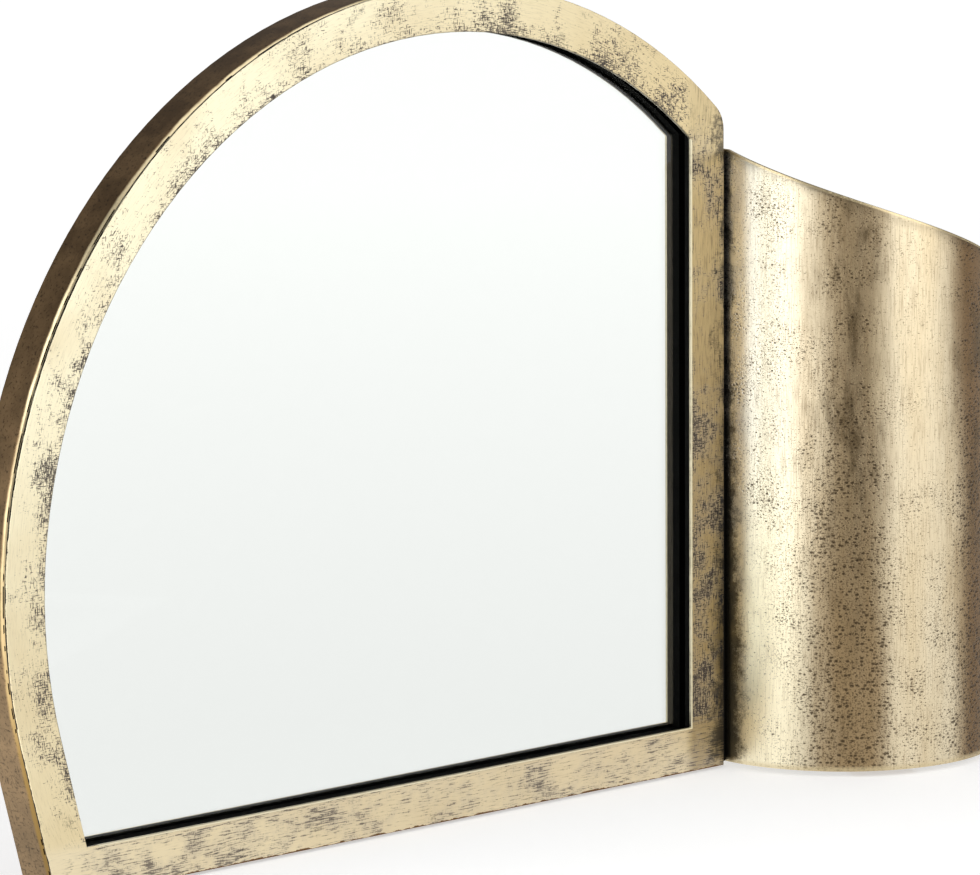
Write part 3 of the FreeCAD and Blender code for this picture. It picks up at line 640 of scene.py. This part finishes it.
for cell, strength in (((1.0 * MM, 0.8 * MM), 0.5), ((2.1 * MM, 1.3 * MM), 0.85)):
    grid = add(tree, "Mapping", {"Vector": rolled_out, "Scale": (1 / cell[0], 1 / cell[1], 1)})
    pit = add(tree, "TexVoronoi", {"Vector": grid, "Scale": 1.0}, None, voronoi_dimensions="2D")
    chance = add(tree, "RGBToBW", {0: pit.outputs["Color"]})
    size = add(tree, "MapRange", {"Value": chance, "From Min": 0.25, "From Max": 0.8,
                                  "To Min": 0.12, "To Max": 0.5})
    size = add(tree, "Math", {0: size, 1: crowd}, operation="MULTIPLY")
    inside = add(tree, "Math", {0: size, 1: 0.25}, operation="SUBTRACT")
    off = add(tree, "Math", {0: pit.outputs["Distance"], 1: ragged}, operation="ADD")
    pits.append(add(tree, "MapRange", {"Value": off, "From Min": size, "From Max": inside,
                                       "To Max": strength}))
pit = add(tree, "Math", {0: pits[0], 1: pits[1]}, operation="MAXIMUM")
# Soot and painted crevice shade on the outside beside the crevice, strongest low down
seam_soot_and_shade = add(tree, "MapRange", {"Value": run, "From Min": 14 * MM, "From Max": 0.0,
                              "To Min": -0.6, "To Max": 0.08})
seam_low = add(tree, "MapRange", {"Value": high, "From Min": 160 * MM, "From Max": 40 * MM,
                                  "To Max": 0.3})
blotchy = add(tree, "TexNoise", {"Vector": rolled_out, "Scale": 1 / (8 * MM), "Detail": 6.0,
                              "Roughness": 0.75})
seam_soot_and_shade = add(tree, "Math", {0: seam_soot_and_shade, 1: seam_low}, operation="ADD")
seam_soot_and_shade = add(tree, "Math", {0: seam_soot_and_shade, 1: blotchy}, operation="ADD")
seam_soot_and_shade = add(tree, "Math", {0: ragged, 1: 0.5, 2: seam_soot_and_shade}, operation="MULTIPLY_ADD")
seam_soot_and_shade = add(tree, "MapRange", {"Value": seam_soot_and_shade, "From Min": 0.44, "From Max": 0.68, "To Max": 0.85})
radial = add(tree, "CombineXYZ", {0: spot.outputs["X"], 1: ahead})
radial = add(tree, "VectorMath", {0: radial}, out="Value", operation="LENGTH")
outside = add(tree, "MapRange", {"Value": radial, "From Min": LEAF_R - 0.9 * LEAF_T,
                                 "From Max": LEAF_R - 0.4 * LEAF_T, "To Min": 0.2})
seam_soot_and_shade = add(tree, "Math", {0: seam_soot_and_shade, 1: outside}, operation="MULTIPLY")
# Rim and foot rubbed bright, the rim also with a painted highlight, and a painted shade line under
# the rim
fall = add(tree, "Math", {0: run, 1: RIM_BEND, 2: RIM_SLOPE}, operation="MULTIPLY_ADD")
fall = add(tree, "Math", {0: fall, 1: run, 2: high}, operation="MULTIPLY_ADD")
under = add(tree, "Math", {0: LEAF_H, 1: fall}, operation="SUBTRACT")
rim_shade_line = add(tree, "MapRange", {"Value": under, "From Min": 5 * MM, "From Max": 1.8 * MM,
                                  "To Max": 0.55})
rim_shade_line = add(tree, "Math", {0: rim_shade_line, 1: blotchy}, operation="MULTIPLY")
rim_wear_and_highlight = add(tree, "MapRange", {"Value": under, "From Min": 1.1 * MM, "From Max": 0.7 * MM,
                              "To Max": 0.8})
foot = add(tree, "MapRange", {"Value": high, "From Min": 2.4 * MM, "From Max": 1.0 * MM,
                              "To Max": 0.6})
# Toned metal and the rubbed, highlighted flank, and over it the browns with their painted
# reflection and shade, marks and worn edges with painted highlight and shade, from the lowest layer
# up
metal = add(tree, "Mix", {0: toned, 6: linear("#DACCAE"), 7: linear("#C2A878")}, 2,
            data_type="RGBA")
metal = add(tree, "Mix", {0: flank_sheen, 6: metal, 7: wear_and_sheen}, 2, data_type="RGBA")
for cover, colour in ((brown_tone_and_reflection, "#866A41"), (deep, "#674D30"), (smudge_and_reflection, "#54452E"),
                      (brushed, "#7C6446"), (strokes, "#4E412D"), (pit, "#3C3022"),
                      (seam_soot_and_shade, "#35322A"), (rim_shade_line, "#4A4030"), (rim_wear_and_highlight, "#D8C69C"),
                      (foot, "#CDBB94")):
    metal = add(tree, "Mix", {0: cover, 6: metal, 7: linear(colour)}, 2, data_type="RGBA")
dished = add(tree, "Bump", {"Height": pit, "Strength": 0.7, "Distance": 0.2 * MM}, invert=True)
finish_shader(tree, shader, {
    "Base Color": metal,
    "Roughness": add(tree, "MapRange", {"Value": streaks, "From Min": 0.3, "From Max": 0.7,
                                        "To Min": 0.26, "To Max": 0.4}),
    "Normal": add(tree, "Bump", {"Height": streaks, "Strength": 0.12, "Distance": 0.12 * MM,
                                 "Normal": dished})})
mount(leaf, leaf_brass, "mirror", "curved_leaf")
leaf.visible_transmission = False    # left out of what the glass shows, which is the plain room

# Foot plates: two brass plates welded inside the leaf's lower edge that carry pads. They were toned
# with the leaf but not rubbed, so they stay dull and brown.
foot_brass, tree, shader = new_material("toned_brass_plate", Metallic=1.0)
place = add(tree, "TexCoord", out="Object")
mottle = add(tree, "TexNoise", {"Vector": place, "Scale": 1 / (5 * MM), "Detail": 5.0,
                                "Roughness": 0.65})
finish_shader(tree, shader, {
    "Base Color": add(tree, "Mix", {0: mottle, 6: linear("#5D4A31"), 7: linear("#9A8058")}, 2,
                      data_type="RGBA"),
    "Roughness": add(tree, "MapRange", {"Value": mottle, "To Min": 0.4, "To Max": 0.6}),
    "Normal": add(tree, "Bump", {"Height": mottle, "Strength": 0.2, "Distance": 0.1 * MM})})
dress("leaf_foot_plates", foot_brass)

# Felt pads: black wool felt, die-cut from 1 mm sheet and glued under the base bar and the foot
# plates, so that no metal touches the table.
felt, tree, shader = new_material("black_wool_felt", Roughness=1.0, Sheen_Weight=0.3)
# Matted fibres with a soft, slightly dusty nap.
place = add(tree, "TexCoord", out="Object")
nap = add(tree, "TexNoise", {"Vector": place, "Scale": 1 / (0.5 * MM), "Detail": 5.0,
                             "Roughness": 0.75, "Distortion": 2.0})
finish_shader(tree, shader, {
    "Base Color": add(tree, "Mix", {0: nap, 6: linear("#0C0C0C"), 7: linear("#2A2927")}, 2,
                      data_type="RGBA"),
    "Normal": add(tree, "Bump", {"Height": nap, "Strength": 0.8, "Distance": 0.3 * MM})})
dress("felt_pads", felt)

# Floor: a wide studio table under pale matt paper that keeps the object's shadow and fades to white
# away from it.
FLOOR = 16                   # metres across
bpy.ops.object.select_all(action="DESELECT")
bpy.ops.mesh.primitive_plane_add(size=FLOOR, location=(0, 0, 0))
floor = bpy.context.object
floor.name = "floor"
pale, tree, shader = new_material("pale_table", Roughness=0.9)
shader.inputs["Base Color"].default_value = linear("#DADADA")
shader.inputs["Emission Color"].default_value = (1, 1, 1, 1)
place = add(tree, "TexCoord", out="Object")
away = add(tree, "VectorMath", {0: place}, out="Value", operation="LENGTH")
seen = add(tree, "LightPath", out=None)
# Lifted to white for the lens, less where the lamps reach it
lift = add(tree, "MapRange", {"Value": away, "From Min": 0.3, "From Max": 2.0,
                              "To Min": 0.5, "To Max": 0.8})
lift = add(tree, "Math", {0: seen.outputs["Is Camera Ray"], 1: lift}, operation="MULTIPLY")
finish_shader(tree, shader, {"Emission Strength": lift})
# In metal and glass it is an even white, greyer close to the object as painted shade
even = add(tree, "MapRange", {"Value": away, "From Min": 0.15, "From Max": 1.7,
                              "To Min": 1.1, "To Max": 1.3})
even = add(tree, "Emission", {"Strength": even})
mirrored = add(tree, "Math", {0: seen.outputs["Is Glossy Ray"],
                              1: seen.outputs["Is Transmission Ray"]}, operation="MAXIMUM")
tree.links.new(add(tree, "MixShader", {0: mirrored, 1: shader.outputs[0], 2: even}),
               tree.nodes["Material Output"].inputs["Surface"])
floor.data.materials.append(pale)

# Studio light: two large soft boxes, one at the left and one in front, a soft one above, and a
# dim room. On the table, a white card brightens the leaf's left and a dark one gives it a stripe.
ROOM_LIGHT = 0.3
CARD_FADE = 0.1              # width over which a card's edge turns into the table
TABLE_WHITE = 1.2            # about the table's brightness as the metal sees it
world = bpy.data.worlds.new("room")
bpy.context.scene.world = world
world.use_nodes = True
world.node_tree.nodes["Background"].inputs["Color"].default_value = (1, 1, 1, 1)
world.node_tree.nodes["Background"].inputs["Strength"].default_value = ROOM_LIGHT


def soft_box(name, spot, aim, width, height, power):
    """A rectangular lamp that the lens doesn't see, turned towards a point."""
    lamp = bpy.data.lights.new(name, "AREA")
    lamp.shape = "RECTANGLE"
    lamp.size, lamp.size_y = width, height
    lamp.energy = power
    box = bpy.data.objects.new(name, lamp)
    bpy.context.scene.collection.objects.link(box)
    box.location = spot
    box.rotation_euler = (Vector(aim) - Vector(spot)).to_track_quat("-Z", "Y").to_euler()
    box.visible_camera = False


soft_box("left soft box", (-1.3, 0.10, 0.60), (0.1, 0.0, 0.15), 1.0, 1.2, 8.5)
soft_box("front soft box", (0.35, -1.35, 0.60), (0.1, 0.0, 0.15), 1.1, 1.2, 7.5)
soft_box("top soft box", (0.0, -0.1, 1.7), (0.0, 0.0, 0.0), 1.6, 1.6, 8)


def card(name, middle, turn, width, length, strength, in_glass):
    """A sheet of card on the table that only the metal sees, and the glass where that is wanted."""
    bpy.ops.object.select_all(action="DESELECT")
    bpy.ops.mesh.primitive_plane_add(size=1, location=middle, rotation=(0, 0, turn))
    sheet = bpy.context.object
    sheet.name = name
    sheet.dimensions = (width, length, 0)
    bpy.ops.object.transform_apply(location=True, rotation=True, scale=True)
    glow, tree, shader = new_material(name)
    shader.inputs["Base Color"].default_value = (0, 0, 0, 1)
    shader.inputs["Emission Color"].default_value = (1, 1, 1, 1)
    # It fades into the table at its edges, so that no hard line shows in the metal
    place = add(tree, "TexCoord", out="Object")
    place = add(tree, "VectorMath", {0: place, 1: middle}, operation="SUBTRACT")
    place = add(tree, "VectorRotate", {"Vector": place, "Angle": -turn}, rotation_type="Z_AXIS")
    place = add(tree, "VectorMath", {0: place}, operation="ABSOLUTE")
    inset = add(tree, "VectorMath", {0: (width / 2, length / 2, 0), 1: place},
                operation="SUBTRACT")
    inset = add(tree, "SeparateXYZ", {0: inset}, out=None)
    inset = add(tree, "Math", {0: inset.outputs["X"], 1: inset.outputs["Y"]}, operation="MINIMUM")
    fade = add(tree, "MapRange", {"Value": inset, "From Max": CARD_FADE, "To Min": TABLE_WHITE,
                                  "To Max": strength}, interpolation_type="SMOOTHSTEP")
    finish_shader(tree, shader, {"Emission Strength": fade})
    sheet.data.materials.append(glow)
    sheet.visible_camera = False
    sheet.visible_diffuse = False
    sheet.visible_shadow = False
    sheet.visible_transmission = in_glass


card("white_card", (-0.89, -0.22, 0.002), 0, 1.3, 0.8, 2.15, True)
card("dark_card", (-0.275, -0.66, 0.003), math.radians(-32), 0.42, 0.98, 0.15, False)

# Camera: at the photograph's angle and 2.5 m away, with a long lens that the frame's face and the
# near half of the leaf fill.
YAW, RISE, ROLL = math.radians(42.296), math.radians(9.524), math.radians(-0.315)
AIM = ARC_CENTRE + Vector((23.01, 0, 34.03)) * MM
AWAY = 2486.35 * MM
LENS, SENSOR = 257.1, 36     # millimetres, as on a camera
ahead = Vector((math.sin(YAW) * math.cos(RISE), math.cos(YAW) * math.cos(RISE), -math.sin(RISE)))
level = Vector((math.cos(YAW), -math.sin(YAW), 0))
raised = level.cross(ahead)
right = level * math.cos(ROLL) + raised * math.sin(ROLL)
up = raised * math.cos(ROLL) - level * math.sin(ROLL)
lens = bpy.data.cameras.new("camera")
lens.sensor_width = SENSOR
lens.lens = LENS
camera = bpy.data.objects.new("camera", lens)
bpy.context.scene.collection.objects.link(camera)
turned = Matrix((right, up, -ahead)).transposed().to_4x4()
camera.matrix_world = Matrix.Translation(AIM - ahead * AWAY) @ turned
bpy.context.scene.camera = camera
bpy.context.scene.view_settings.view_transform = "Standard"
